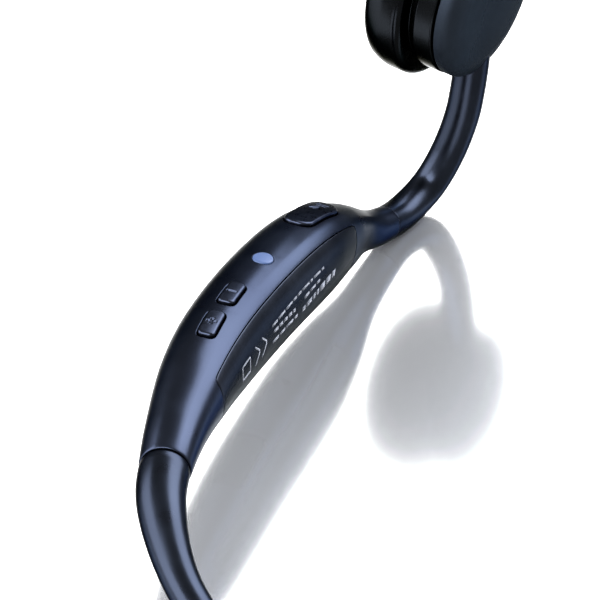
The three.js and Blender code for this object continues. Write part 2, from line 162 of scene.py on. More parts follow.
def material(name, dark, light, rough, cloud=60, grain=2500, bump=0.1, depth=0.00005, **sockets):
    """A moulded or machined finish: two close colours in soft clouds, uneven gloss and a fine raised grain.

    cloud and grain are the noises' scales in cycles per metre. sockets are set on the shader as they are.
    """
    made = bpy.data.materials.new(name)
    made.use_nodes = True
    nodes, links = made.node_tree.nodes, made.node_tree.links
    shader = nodes["Principled BSDF"]
    where = nodes.new("ShaderNodeTexCoord")

    def noise(scale, detail):
        node = nodes.new("ShaderNodeTexNoise")
        node.inputs["Scale"].default_value = scale
        node.inputs["Detail"].default_value = detail
        links.new(where.outputs["Object"], node.inputs["Vector"])
        return node.outputs["Fac"]

    ramp = nodes.new("ShaderNodeValToRGB")
    ramp.color_ramp.elements[0].position = 0.3
    ramp.color_ramp.elements[0].color = (*dark, 1)
    ramp.color_ramp.elements[1].position = 0.7
    ramp.color_ramp.elements[1].color = (*light, 1)
    links.new(noise(cloud, 5), ramp.inputs["Fac"])
    links.new(ramp.outputs["Color"], shader.inputs["Base Color"])

    gloss = nodes.new("ShaderNodeMapRange")
    gloss.inputs["From Min"].default_value = 0.3
    gloss.inputs["From Max"].default_value = 0.7
    gloss.inputs["To Min"].default_value = rough[0]
    gloss.inputs["To Max"].default_value = rough[1]
    links.new(noise(cloud * 4, 8), gloss.inputs["Value"])
    links.new(gloss.outputs["Result"], shader.inputs["Roughness"])

    raised = nodes.new("ShaderNodeBump")
    raised.inputs["Strength"].default_value = bump
    raised.inputs["Distance"].default_value = depth
    links.new(noise(grain, 3), raised.inputs["Height"])
    links.new(raised.outputs["Normal"], shader.inputs["Normal"])
    for socket, value in sockets.items():
        shader.inputs[socket.replace("_", " ")].default_value = value
    return made


# The dark finishes reflect like a faintly metallic paint, whose shine doesn't grow towards the edges
PAINT = {"Metallic": 1, "Specular_Tint": (0.38, 0.38, 0.37, 1)}

MATERIALS = {
    "satin_shell": material(
        "satin_shell", (0.018, 0.021, 0.030), (0.022, 0.026, 0.036), (0.27, 0.33), **PAINT
    ),
    "satin_cover": material(
        "satin_cover", (0.018, 0.020, 0.025), (0.022, 0.024, 0.029), (0.29, 0.35), **PAINT
    ),
    "soft_sleeve": material(
        "soft_sleeve", (0.013, 0.015, 0.020), (0.018, 0.021, 0.028), (0.27, 0.34), cloud=90, **PAINT
    ),
    "soft_pad": material(
        "soft_pad", (0.014, 0.017, 0.021), (0.018, 0.022, 0.027), (0.55, 0.65), cloud=90, **PAINT
    ),
    "gloss_case": material(
        "gloss_case", (0.007, 0.0075, 0.008), (0.010, 0.011, 0.0115), (0.17, 0.23), bump=0.02, **PAINT
    ),
    "key_cap": material(
        "key_cap", (0.018, 0.021, 0.029), (0.024, 0.027, 0.037), (0.26, 0.33), cloud=300, **PAINT
    ),
    "light_window": material(
        "light_window", (0.026, 0.042, 0.085), (0.034, 0.054, 0.11), (0.4, 0.5), cloud=200, bump=0.03,
        Specular_IOR_Level=0.2,
    ),
    "titanium": material(
        "titanium", (0.30, 0.29, 0.28), (0.40, 0.39, 0.37), (0.28, 0.4), cloud=500, Metallic=1
    ),
    "steel": material(
        "steel", (0.45, 0.45, 0.46), (0.56, 0.56, 0.57), (0.22, 0.38), cloud=400, Metallic=1
    ),
    "magnet_plating": material(
        "magnet_plating", (0.52, 0.51, 0.49), (0.62, 0.61, 0.58), (0.1, 0.2), cloud=200, bump=0.05,
        Metallic=1,
    ),
    "copper": material(
        "copper", (0.55, 0.20, 0.08), (0.75, 0.32, 0.14), (0.25, 0.4), cloud=900, grain=6000, bump=0.4,
        Metallic=1,
    ),
    "cable_jacket": material(
        "cable_jacket", (0.02, 0.02, 0.022), (0.035, 0.035, 0.038), (0.45, 0.6), cloud=500
    ),
    "circuit_board": material(
        "circuit_board", (0.01, 0.07, 0.03), (0.02, 0.12, 0.05), (0.3, 0.45), cloud=900, bump=0.3
    ),
    "dark_plastic": material(
        "dark_plastic", (0.014, 0.014, 0.016), (0.024, 0.024, 0.027), (0.45, 0.6), cloud=300
    ),
    "foam": material(
        "foam", (0.03, 0.03, 0.034), (0.06, 0.06, 0.066), (0.85, 0.95), cloud=1500, grain=3500, bump=0.9,
        depth=0.0002,
    ),
    "battery_pouch": material(
        "battery_pouch", (0.42, 0.42, 0.44), (0.55, 0.55, 0.57), (0.25, 0.4), cloud=120, grain=500,
        bump=0.3, Metallic=0.9,
    ),
    "print": material(
        "print", (0.042, 0.045, 0.052), (0.07, 0.074, 0.084), (0.5, 0.6), cloud=900, bump=0.05
    ),
}

for node in frame["nodes"].values():
    for held in node.material_slots:
        held.material = MATERIALS[held.material.name.split(".")[0]]


def add(piece, body, finish, *nodes, slot=None):
    """Gives a piece its finish and body, and the CAD nodes that it stands for."""
    piece.data.materials.append(MATERIALS[finish])
    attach(piece, body)
    if nodes:
        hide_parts(*nodes)
    return piece


# ------------------------------------------------------------------ centre line


def centripetal_line(points, per_span=130):
    """Close-set points of the centripetal Catmull-Rom curve through the given ones."""
    p = np.array(points, float)
    p = np.vstack([2 * p[0] - p[1], p, 2 * p[-1] - p[-2]])
    t = np.linspace(0, 1, per_span, endpoint=False)[:, None]
    spans = []
    for i in range(1, len(p) - 2):
        p0, p1, p2, p3 = p[i - 1 : i + 3]
        d0, d1, d2 = (np.linalg.norm(b - a) ** 0.5 for a, b in ((p0, p1), (p1, p2), (p2, p3)))
        slope1 = ((p1 - p0) / d0 - (p2 - p0) / (d0 + d1) + (p2 - p1) / d1) * d1
        slope2 = ((p2 - p1) / d1 - (p3 - p1) / (d1 + d2) + (p3 - p2) / d2) * d1
        spans.append(
            p1 * (2 * t**3 - 3 * t**2 + 1)
            + p2 * (3 * t**2 - 2 * t**3)
            + slope1 * (t**3 - 2 * t**2 + t)
            + slope2 * (t**3 - t**2)
        )
    return np.vstack(spans + [p[-2]])


LINE = centripetal_line([(-x, y, z) for x, y, z in reversed(SIDE_ROUTE)] + [BAND_REAR] + SIDE_ROUTE)
LINE_AT = np.concatenate([[0], np.cumsum(np.linalg.norm(np.diff(LINE, axis=0), axis=1))])
LINE_AT -= LINE_AT[-1] / 2
LINE_SLOPE = np.gradient(LINE, LINE_AT, axis=0)


def unit(v):
    return v / np.linalg.norm(v, axis=-1, keepdims=True)


def along_line(table, from_rear):
    return np.stack([np.interp(from_rear, LINE_AT, table[:, k]) for k in range(3)], axis=-1)


def frames_at(from_rear):
    """Point, outward and up at distances along the line from its rear middle."""
    point = along_line(LINE, from_rear)
    forward = unit(along_line(LINE_SLOPE, from_rear))
    outward = point * (1, 1, 0)
    outward = unit(outward - forward * np.sum(outward * forward, axis=-1, keepdims=True))
    return point, outward, np.cross(outward, forward)


# ------------------------------------------------------------------ sections


def between(stations, place, column):
    """Smooth values at places between stations: cubics whose slope at a station follows its neighbours."""
    table = np.array(stations, float)
    at, value = table[:, 0], table[:, column]
    place = np.clip(place, at[0], at[-1])
    i = np.clip(np.searchsorted(at, place, side="left") - 1, 0, len(at) - 2)
    before = np.maximum(np.arange(len(at)) - 1, 0)
    after = np.minimum(np.arange(len(at)) + 1, len(at) - 1)
    slope = (value[after] - value[before]) / (at[after] - at[before])
    span = at[i + 1] - at[i]
    t = (place - at[i]) / span
    return (
        value[i] * (2 * t**3 - 3 * t**2 + 1)
        + value[i + 1] * (3 * t**2 - 2 * t**3)
        + slope[i] * span * (t**3 - 2 * t**2 + t)
        + slope[i + 1] * span * (t**3 - t**2)
    )


def smoothstep(x, low, high):
    t = np.clip((x - low) / (high - low), 0, 1)
    return t * t * (3 - 2 * t)


def rounded(value, square):
    return np.sign(value) * np.abs(value) ** (2 / square)


def section_point(from_rear, angle, wide, tall, square, depth):
    """Points of a section at angles from outward towards up, inset by depths."""
    point, outward, up = frames_at(from_rear)
    across = (wide - depth) * rounded(np.cos(angle), square)
    height = (tall - depth) * rounded(np.sin(angle), square)
    return point + outward * across[..., None] + up * height[..., None]


# The joint of pod and neckband lies in a plane that leans, so that one side of it is further forward
JOINT_LEAN = 0.75
JOINT_LEAN_ANGLE = math.radians(100)
JOINT_LEAN_REACH = 7


def joint_shift(angle):
    return JOINT_LEAN * np.cos(angle - JOINT_LEAN_ANGLE)


def pod_point(along, angle, depth):
    """Points of the pod's surface at lengths along it, angles and depths."""
    along, angle, depth = np.broadcast_arrays(along, angle, depth)
    section = [between(POD_SECTIONS, along, k) for k in (1, 2, 3)]
    leaned = along + joint_shift(angle) * (1 - smoothstep(along, 0, JOINT_LEAN_REACH))
    return section_point(JOINT_AT + leaned, angle, *section, depth)


def band_point(from_rear, angle, depth):
    near = smoothstep(np.abs(from_rear), JOINT_AT - BAND_TAPER, JOINT_AT)
    radius = BAND_RADIUS + (BAND_RADIUS_AT_POD - BAND_RADIUS) * near
    lean = smoothstep(np.abs(from_rear), JOINT_AT - JOINT_LEAN_REACH, JOINT_AT) * np.sign(from_rear)
    return section_point(from_rear + joint_shift(angle) * lean, angle, radius, radius, 2, depth)


def top_angle(along, across):
    """The angle, on the pod's upper half, of points a given way outward from its middle."""
    wide = between(POD_SECTIONS, along, 1)
    square = between(POD_SECTIONS, along, 3)
    cosine = np.sign(across) * (np.abs(across) / wide) ** (square / 2)
    return np.arccos(np.clip(cosine, -1, 1))


# ------------------------------------------------------------------ meshes


def piece_of(name, points, faces, sign=1, levels=0):
    """A smooth-shaded object from points in millimetres, mirrored if sign is -1."""
    mesh = bpy.data.meshes.new(name)
    metres = points * (sign * MM, MM, MM)
    mesh.from_pydata(metres.tolist(), [], [tuple(map(int, face)) for face in faces])
    bm = bmesh.new()
    bm.from_mesh(mesh)
    bmesh.ops.delete(bm, geom=[v for v in bm.verts if not v.link_faces], context="VERTS")
    bmesh.ops.remove_doubles(bm, verts=bm.verts, dist=1e-7)
    bmesh.ops.recalc_face_normals(bm, faces=bm.faces)
    bm.to_mesh(mesh)
    bm.free()
    mesh.polygons.foreach_set("use_smooth", [True] * len(mesh.polygons))
    piece = bpy.data.objects.new(name, mesh)
    bpy.context.scene.collection.objects.link(piece)
    if levels:
        smooth = piece.modifiers.new("smooth", "SUBSURF")
        smooth.levels = smooth.render_levels = levels
    return piece


class Skin:
    """Faces over a surface that is addressed by two coordinates and a depth."""

    def __init__(self, place):
        self.place = place
        self.coords = []
        self.faces = []

    def points(self, a, b, depth):
        """Adds points and returns their numbers, in the shape of the coordinates."""
        a, b, depth = np.broadcast_arrays(a, b, depth)
        first = len(self.coords)
        self.coords.extend(zip(a.ravel(), b.ravel(), depth.ravel()))
        return (first + np.arange(a.size)).reshape(a.shape)

    def quads(self, grid, keep=lambda i, j: True):
        for i in range(grid.shape[0] - 1):
            for j in range(grid.shape[1] - 1):
                if keep(i, j):
                    self.faces.append((grid[i, j], grid[i + 1, j], grid[i + 1, j + 1], grid[i, j + 1]))

    def bridge(self, *rings):
        """Quads between closed rings of points, from each to the next."""
        rings = np.array(rings)
        self.quads(np.hstack([rings, rings[:, :1]]))

    def piece(self, name, sign=1, levels=0):
        a, b, depth = (np.array(column, float) for column in zip(*self.coords))
        return piece_of(name, self.place(a, b, depth), self.faces, sign, levels)


def filled(stations, step):
    """The stations, with evenly spaced values put between them so that none are more than a step apart."""
    values = []
    for low, high in zip(stations, stations[1:]):
        values.extend(np.linspace(low, high, max(1, math.ceil((high - low) / step)), endpoint=False))
    return np.array([*values, stations[-1]])


def rounded_corner(x, y, half_x, half_y, radius):
    """Moves points of a rectangle's border onto the border with its corners rounded."""
    core_x = np.clip(x, radius - half_x, half_x - radius)
    core_y = np.clip(y, radius - half_y, half_y - radius)
    reach = np.maximum(np.hypot(x - core_x, y - core_y), 1e-9)
    return core_x + radius * (x - core_x) / reach, core_y + radius * (y - core_y) / reach


def border(i0, i1, j0, j1):
    """Row and column numbers round the border of a block of a grid, in order."""
    cells = [(i, j0) for i in range(i0, i1)] + [(i1, j) for j in range(j0, j1)]
    cells += [(i, j1) for i in range(i1, i0, -1)] + [(i0, j) for j in range(j1, j0, -1)]
    return np.array(cells).T


class Opening:
    """A rounded opening in a skin: a block of cells taken out, and rings that lead from it to the outline.

    rows and columns bound the block, half and radius give the outline, and locate turns the outline's
    millimetres from its middle into the skin's own two coordinates.
    """

    RINGS = (0.5, 0.86, 1)

    def __init__(self, rows, columns, half, radius, locate):
        self.rows, self.columns = rows, columns
        self.half, self.radius = half, radius
        self.locate = locate

    def block(self, rows, columns):
        near = [int(np.abs(rows - v).argmin()) for v in self.rows]
        return near + [int(np.abs(columns - v).argmin()) for v in self.columns]

    def outline(self, a, b):
        """The outline's point for each of the block's border points."""
        x = (2 * b - self.columns[0] - self.columns[1]) / (self.columns[1] - self.columns[0])
        y = (2 * a - self.rows[0] - self.rows[1]) / (self.rows[1] - self.rows[0])
        half_x, half_y = self.half
        return self.locate(*rounded_corner(x * half_x, y * half_y, half_x, half_y, self.radius))


LIP = 0.12
TIGHT_LIP = 0.03


def shell(name, place, rows, columns, openings=(), wall=WALL, lips=(LIP, LIP), sign=1, levels=2):
    """A closed skin of some thickness that wraps round, with the edges of its openings and ends broken."""
    skin = Skin(place)
    a, b = np.meshgrid(rows, columns, indexing="ij")
    grids = [skin.points(a, b, depth) for depth in (0, wall)]
    taken = set()
    for opening in openings:
        i0, i1, j0, j1 = opening.block(rows, columns)
        taken.update((i, j) for i in range(i0, i1) for j in range(j0, j1))
    for grid in grids:
        skin.quads(np.hstack([grid, grid[:, :1]]), lambda i, j: (i, j) not in taken)
    for opening in openings:
        i, j = border(*opening.block(rows, columns))
        end_a, end_b = opening.outline(rows[i], columns[j])
        edges = []
        for grid, depth in zip(grids, (0, wall)):
            rings = [grid[i, j]]
            for w in Opening.RINGS:
                ring_a = rows[i] * (1 - w) + end_a * w
                ring_b = columns[j] * (1 - w) + end_b * w
                rings.append(skin.points(ring_a, ring_b, depth))
            skin.bridge(*rings)
            edges.append(rings[-1])
        skin.bridge(edges[0], skin.points(end_a, end_b, LIP), edges[1])
    for end, lip in zip((0, -1), lips):
        skin.bridge(grids[0][end], skin.points(rows[end], columns, lip), grids[1][end])
    return skin.piece(name, sign, levels)


def rod(name, place, rows, sides=16, sign=1):
    """A solid round bar along a line."""
    skin = Skin(place)
    a, b = np.meshgrid(rows, np.linspace(0, 2 * np.pi, sides, endpoint=False), indexing="ij")
    grid = skin.points(a, b, 0)
    skin.bridge(*grid)
    skin.faces += [tuple(grid[0]), tuple(grid[-1])]
    return skin.piece(name, sign)


def tablet(name, place, half, radius, low, fillet, step=0.6, relief=None, sign=1, levels=2):
    """A closed body with a rounded rectangular outline and a filleted top.

    place takes millimetres from its middle and a depth. The top is at depth 0, plus the relief there.
    """
    lines = []
    for size in half:
        edge = [size, size - 0.3 * fillet, size - fillet]
        lines.append(filled([-edge[0], -edge[1], *filled([-edge[2], edge[2]], step), edge[1], edge[0]], 99))
    x, y = np.meshgrid(*lines, indexing="ij")
    inset = np.minimum(half[0] - np.abs(x), half[1] - np.abs(y))
    corner = np.maximum(radius - inset, 1e-3)
    x, y = rounded_corner(x, y, half[0] - inset, half[1] - inset, corner)
    drop = fillet - np.sqrt(np.maximum(fillet**2 - np.maximum(fillet - inset, 0) ** 2, 0))
    skin = Skin(place)
    top = skin.points(x, y, drop + (relief(x, y) if relief else 0))
    bottom = skin.points(x, y, low)
    skin.quads(top)
    skin.quads(bottom)
    i, j = border(0, len(lines[0]) - 1, 0, len(lines[1]) - 1)
    rims = [skin.points(x[i, j], y[i, j], depth) for depth in (fillet + 0.1, low - 0.1)]
    skin.bridge(top[i, j], *rims, bottom[i, j])
    return skin.piece(name, sign, levels)


# ------------------------------------------------------------------ pods

# The reaches turn angles on the pod into millimetres round it
COVER_MIDDLE = (sum(COVER_ALONG) / 2, math.radians(sum(COVER_ANGLES) / 2))
COVER_REACH = 6
COVER_HALF = (
    math.radians(COVER_ANGLES[1] - COVER_ANGLES[0]) / 2 * COVER_REACH,
    (COVER_ALONG[1] - COVER_ALONG[0]) / 2,
)


def on_cover(x, y):
    """Length along the pod and angle of a point that is x round and y along from the cover's middle."""
    return COVER_MIDDLE[0] + y, COVER_MIDDLE[1] + x / COVER_REACH


def on_top(place):
    """The same for a point that is x inward and y along from a place on the top."""
    at, degrees = place
    wide, square = (between(POD_SECTIONS, at, k) for k in (1, 3))
    middle = wide * rounded(math.cos(math.radians(degrees)), square)
    return lambda x, y: (at + y, top_angle(at + y, middle - x))


FLAP_MIDDLE = sum(FLAP_ALONG) / 2
FLAP_REACH = 6.5
FLAP_CORNER = 1.1
FLAP_HALF = (math.radians(FLAP_HALF_ANGLE) * FLAP_REACH, (FLAP_ALONG[1] - FLAP_ALONG[0]) / 2)


def on_flap(x, y):
    return FLAP_MIDDLE + y, math.radians(PORT_ANGLE) + x / FLAP_REACH


MICROPHONE_REACH = 7


def at_microphone(x, y):
    return MICROPHONE_AT + y, math.radians(MICROPHONE_ANGLE) + x / MICROPHONE_REACH


def opening_round(middle, half, radius, degrees, locate, margin=1):
    """An opening whose block runs a margin past it along the pod, between two angles in degrees."""
    rows = (middle - half[1] - margin, middle + half[1] + margin)
    return Opening(rows, np.radians(degrees), half, radius, locate)


def grown(half, clearance):
    return tuple(h + clearance for h in half)


BUTTON_GAP = 0.26
BUTTON_CORNER = 0.8
BUTTONS = {
    "volume_up": (VOLUME_UP_AT, VOLUME_SIZE, BUTTON_CORNER),
    "volume_down": (VOLUME_DOWN_AT, VOLUME_SIZE, BUTTON_CORNER),
    "multifunction": (MULTIFUNCTION_AT, MULTIFUNCTION_SIZE, 2),
}
PORT_GAP = 0.2
WINDOW_GAP = 0.05
HOLE_RADIUS = 0.5
PARTING_GAP = 0.13

# Degrees between which each opening's block of cells is taken out of the housing
COVER_BLOCK = (132, 244)
BUTTON_BLOCK = (62, 118)
WINDOW_BLOCK = (74, 115)
FLAP_BLOCK = (247, 306)
HOLE_BLOCK = (262, 278)


def openings_of(side):
    """The cover's opening, and on the right those of the buttons, light, port and microphone."""
    found = [opening_round(COVER_MIDDLE[0], COVER_HALF, COVER_CORNER, COVER_BLOCK, on_cover, 0.7)]
    if side == "left":
        return found
    for place, size, corner in BUTTONS.values():
        half = grown((size[0] / 2, size[1] / 2), BUTTON_GAP)
        found.append(opening_round(place[0], half, corner + BUTTON_GAP, BUTTON_BLOCK, on_top(place)))
    window = LIGHT_RADIUS + WINDOW_GAP
    half = (window, window)
    found.append(opening_round(LIGHT_AT[0], half, window, WINDOW_BLOCK, on_top(LIGHT_AT), 0.8))
    half = grown(FLAP_HALF, PORT_GAP)
    found.append(opening_round(FLAP_MIDDLE, half, FLAP_CORNER + PORT_GAP, FLAP_BLOCK, on_flap))
    half = (HOLE_RADIUS, HOLE_RADIUS)
    found.append(opening_round(MICROPHONE_AT, half, HOLE_RADIUS, HOLE_BLOCK, at_microphone, 0.6))
    return found


def pod_housing(side):
    openings = openings_of(side)
    edges = sorted({0.05, POD_LENGTH - 0.05, *(v for o in openings for v in o.rows)})
    rows = filled([v for i, v in enumerate(edges) if i == 0 or v - edges[i - 1] > 0.05], 0.9)
    stations = sorted({*COVER_BLOCK, *BUTTON_BLOCK, *WINDOW_BLOCK, *FLAP_BLOCK, *HOLE_BLOCK})
    columns = np.radians(filled([*stations, stations[0] + 360], 8)[:-1])
    lips = (LIP, TIGHT_LIP)
    return shell(f"{side}_pod_shell", pod_point, rows, columns, openings, lips=lips, sign=SIGN[side])


def pod_cover(side):
    return tablet(
        f"{side}_cover_panel",
        lambda x, y, depth: pod_point(*on_cover(x, y), depth),
        grown(COVER_HALF, -PARTING_GAP),
        COVER_CORNER - PARTING_GAP,
        low=WALL - 0.1,
        fillet=0.12,
        step=0.9,
        sign=SIGN[side],
    )


for side in SIGN:
    add(pod_housing(side), BODY[side], "satin_shell", f"{side}_pod_housing")
    add(pod_cover(side), BODY[side], "satin_cover", f"{side}_pod_cover")

# ------------------------------------------------------------------ controls

SIGN_ARM = 0.62
SIGN_BREADTH = 0.17
SIGN_DEPTH = 0.3


def minus_sign(x, y):
    """Extra depth of a short groove across the button."""
    in_bar = (np.abs(y) < SIGN_BREADTH) & (np.abs(x) < SIGN_ARM)
    return SIGN_DEPTH * in_bar


def plus_sign(x, y):
    return np.maximum(minus_sign(x, y), minus_sign(y, x))


PLAY_MIDDLE = 2.2
PLAY_SIZE = 0.8


def play_sign(x, y):
    """A triangle and two bars, side by side along the button near its front end."""
    y = y - PLAY_MIDDLE
    in_triangle = (y > -1.5) & (np.abs(x) < PLAY_SIZE * (0.1 - y) / 1.6)
    in_bars = (np.abs(x) < PLAY_SIZE) & ((np.abs(y - 0.55) < 0.2) | (np.abs(y - 1.25) < 0.2))
    return SIGN_DEPTH * (in_triangle | in_bars)


RELIEFS = {"volume_up": plus_sign, "volume_down": minus_sign, "multifunction": play_sign}


def button(name):
    where, size, corner = BUTTONS[name]

    def place(x, y, depth):
        return pod_point(*on_top(where)(x, y), depth - BUTTON_HEIGHT)

    half = (size[0] / 2, size[1] / 2)
    return tablet(
        f"{name}_key", place, half, corner, low=2.6, fillet=0.3, step=0.085, relief=RELIEFS[name], sign=-1,
        levels=1,
    )


for name, body in (
    ("volume_up", "volume_up_key"),
    ("volume_down", "volume_down_key"),
    ("multifunction", "multifunction_key"),
):
    add(button(name), body, "key_cap", f"{name}_button")

WINDOW_HEIGHT = 0.2
window = tablet(
    "light_lens",
    lambda x, y, depth: pod_point(*on_top(LIGHT_AT)(x, y), depth - WINDOW_HEIGHT),
    (LIGHT_RADIUS, LIGHT_RADIUS),
    LIGHT_RADIUS,
    low=1.3,
    fillet=0.25,
    step=0.3,
    sign=-1,
)
add(window, "headband", "light_window", "status_light_window")

flap = tablet(
    "port_cover",
    lambda x, y, depth: pod_point(*on_flap(x, y), depth),
    FLAP_HALF,
    FLAP_CORNER,
    low=0.95,
    fillet=0.4,
    sign=-1,
)
add(flap, "charging_port_flap", "soft_pad", "port_flap")

# ------------------------------------------------------------------ printed marks on the right cover

# Rows of dashes: from and to in length along the pod and angle, and how thick they are
MARK_ROWS = [
    ((31.8, 170), (50.4, 164.5), 0.28),
    ((32.3, 177), (40.2, 178.5), 0.28),
    ((43.5, 177), (48.9, 174), 0.28),
    ((32, 185), (41.6, 185), 0.28),
    ((43, 186), (54.6, 179), 0.5),
]
DASH_LENGTHS = (0.7, 2.6)
DASH_GAP = 0.45

# Two arrowheads and a frame behind them
MARK_SHAPES = [
    [(28, 169), (29.6, 178), (28, 187)],
    [(25.4, 169.5), (27, 178.5), (25.4, 187.5)],
    [(20.6, 172), (23.4, 172), (23.4, 186), (20.6, 186), (20.6, 172)],
]
SHAPE_LINE = 0.22
MARK_HEIGHT = 0.02
MARK_DEPTH = 0.05


def mark_lines(chance):
    """Each mark's line, as points of length along the pod and angle, and its thickness."""
    for start, end, thick in MARK_ROWS:
        start, end = np.array(start), np.array(end)
        at = start[0]
        while at < end[0] - DASH_LENGTHS[0]:
            stop = min(at + chance.uniform(*DASH_LENGTHS), end[0])
            shares = (np.array([at, stop]) - start[0]) / (end[0] - start[0])
            yield start + (end - start) * shares[:, None], thick
            at = stop + DASH_GAP
    for corners in MARK_SHAPES:
        for start, end in zip(corners, corners[1:]):
            yield np.linspace(start, end, 6), SHAPE_LINE


def printed_marks():
    skin = Skin(lambda x, y, depth: pod_point(*on_cover(x, y), depth))
    for line, thick in mark_lines(np.random.default_rng(7)):
        across = (np.radians(line[:, 1]) - COVER_MIDDLE[1]) * COVER_REACH
        flat = np.column_stack([across, line[:, 0] - COVER_MIDDLE[0]])
        way = unit(np.gradient(flat, axis=0))
        side = np.column_stack([-way[:, 1], way[:, 0]]) * thick / 2
        edges = np.stack([flat - side, flat + side, flat + side, flat - side], axis=1)
        depths = np.array([-MARK_HEIGHT, -MARK_HEIGHT, MARK_DEPTH, MARK_DEPTH])
        grid = skin.points(edges[..., 0], edges[..., 1], depths)
        skin.bridge(*grid)
        skin.faces += [tuple(grid[0]), tuple(grid[-1])]
    return skin.piece("cover_marks", sign=-1)


add(printed_marks(), "headband", "print", slot="satin_cover")

# ------------------------------------------------------------------ neckband

BAND_END = JOINT_AT - 0.05
BAND_NOSE = 0.3
BAND_NOSE_DROP = 0.16


def band_core(offset, radius):
    """Places points round a core that lies beside the neckband's centre line."""

    def place(from_rear, angle, depth):
        point, outward, up = frames_at(from_rear)
        across = (offset + (radius - depth) * np.cos(angle))[..., None]
        return point + outward * across + up * ((radius - depth) * np.sin(angle))[..., None]

    return place


def add_blended(piece, finish, node):
    piece.data.materials.append(MATERIALS[finish])
    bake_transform(piece)
    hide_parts(node)


def band_sleeve():
    rows = filled([-BAND_END, BAND_NOSE - BAND_END, BAND_END - BAND_NOSE, BAND_END], 0.8)
    columns = np.linspace(0, 2 * np.pi, 48, endpoint=False)
    skin = Skin(band_point)
    a, b = np.meshgrid(rows, columns, indexing="ij")
    nose = np.sqrt(1 - np.clip((BAND_END - np.abs(a)) / BAND_NOSE, 0, 1)) * BAND_NOSE_DROP
    outer = skin.points(a, b, nose)
    inner = skin.points(a, b, BAND_RADIUS - BORE_RADIUS)
    skin.bridge(*outer)
    skin.bridge(*inner)
    skin.bridge(outer[0], inner[0])
    skin.bridge(outer[-1], inner[-1])
    return skin.piece("neckband_skin")


core_rows = filled([-BAND_CORE_END, BAND_CORE_END], 1.5)
wire = rod("neckband_spring_wire", band_core(CORE_OFFSET, WIRE_RADIUS), core_rows)
cable = rod("neckband_lead", band_core(-CORE_OFFSET, CABLE_RADIUS), core_rows)
add_blended(band_sleeve(), "soft_sleeve", "neckband_sleeve")
add_blended(wire, "titanium", "neckband_wire")
add_blended(cable, "cable_jacket", "neckband_cable")

# ------------------------------------------------------------------ transducers

HOOK_PLACES = np.arange(JOINT_AT + POD_LENGTH, LINE_AT[-1], 0.05)
HOOK_END = next(at for at in HOOK_PLACES if frames_at(at)[0][2] >= HOOK_RIM_HEIGHT)
FACING = np.array(
    [
        -math.cos(DRUM_TURN) * math.cos(DRUM_TILT),
        -math.sin(DRUM_TURN) * math.cos(DRUM_TILT),
        -math.sin(DRUM_TILT),
    ]
)
DRUM_UP = unit(np.array([0, 0, 1]) - FACING * FACING[2])
DRUM_SIDE = np.cross(FACING, DRUM_UP)
DRUM_CENTRE = frames_at(HOOK_END)[0] + FACING * DRUM_OFFSET + DRUM_UP * RING_RADIUS


def rounded_outline(corners):
    """A closed outline with its corners rounded, from (radius, height, fillet) corners."""
    points = []
    for i, (r, h, fillet) in enumerate(corners):
        corner = np.array([r, h], float)
        if fillet == 0:
            points.append(corner)
            continue
        ends = []
        for other in (corners[i - 1], corners[(i + 1) % len(corners)]):
            way = np.array(other[:2], float) - corner
            ends.append(corner + way / np.linalg.norm(way) * min(fillet, np.linalg.norm(way) * 0.48))
        for t in np.linspace(0, 1, 7):
            points.append(ends[0] * (1 - t) ** 2 + corner * 2 * t * (1 - t) + ends[1] * t**2)
    return np.array(points)


def turned(name, corners, sign, sides=112):
    """A piece turned about the drum's axis."""
    outline = rounded_outline(corners)
    angle, r = np.meshgrid(np.linspace(0, 2 * np.pi, sides, endpoint=False), outline[:, 0], indexing="ij")
    h = np.broadcast_to(outline[:, 1], r.shape)
    across, up = (r * np.cos(angle))[..., None], (r * np.sin(angle))[..., None]
    points = DRUM_CENTRE + DRUM_SIDE * across + DRUM_UP * up + FACING * h[..., None]
    grid = np.arange(r.size).reshape(r.shape)
    grid = np.hstack([grid, grid[:, :1]])
    grid = np.vstack([grid, grid[:1]])
    faces = [
        (grid[i, j], grid[i + 1, j], grid[i + 1, j + 1], grid[i, j + 1])
        for i in range(grid.shape[0] - 1)
        for j in range(grid.shape[1] - 1)
    ]
    piece = piece_of(name, points.reshape(-1, 3), faces, sign)
    piece.modifiers.new("normals", "WEIGHTED_NORMAL").keep_sharp = True
    return piece


CASE = [
    (0, DRUM_BACK, 0),
    (CAP_RADIUS - 3.4, DRUM_BACK, 1.2),
    (CAP_RADIUS - 0.9, DRUM_BACK + 0.9, 1.4),
    (CAP_RADIUS, DRUM_BACK + 3.2, 1.2),
    (CAP_RADIUS, CAP_FRONT, 1.5),
    (NECK_RADIUS, CAP_FRONT, 0.2),
    (NECK_RADIUS, -0.3, 0.1),
    (DRUM_BORE_RADIUS, -0.3, 0.1),
    (DRUM_BORE_RADIUS, DRUM_BACK + 1.4, 0.1),
    (0, DRUM_BACK + 1.4, 0),
]
RING = [
    (NECK_RADIUS + 0.1, RING_BACK, 0.1),
    (RING_RADIUS, RING_BACK, 0.4),
    (RING_RADIUS, -0.15, 0.35),
    (NECK_RADIUS + 0.1, -0.15, 0.1),
]
PAD = [
    (0, 1.9, 0),
    (10.7, 1.9, 0.2),
    (10.7, 0.15, 0.1),
    (RING_RADIUS - 0.1, 0.15, 0.35),
    (RING_RADIUS - 0.1, 2.2, 1.4),
    (RING_RADIUS - 2.6, 3.5, 1.6),
    (5, PAD_FACE, 2.5),
    (0, PAD_FACE, 0),
]

for side, sign in SIGN.items():
    body = BODY[side]
    add(turned(f"{side}_drum_case", CASE, sign), body, "gloss_case", f"{side}_transducer_case")
    add(turned(f"{side}_drum_ring", RING, sign), body, "gloss_case", f"{side}_transducer_ring")
    add(turned(f"{side}_pad_skin", PAD, sign), body, "soft_pad", f"{side}_contact_pad")

# ------------------------------------------------------------------ battery foam

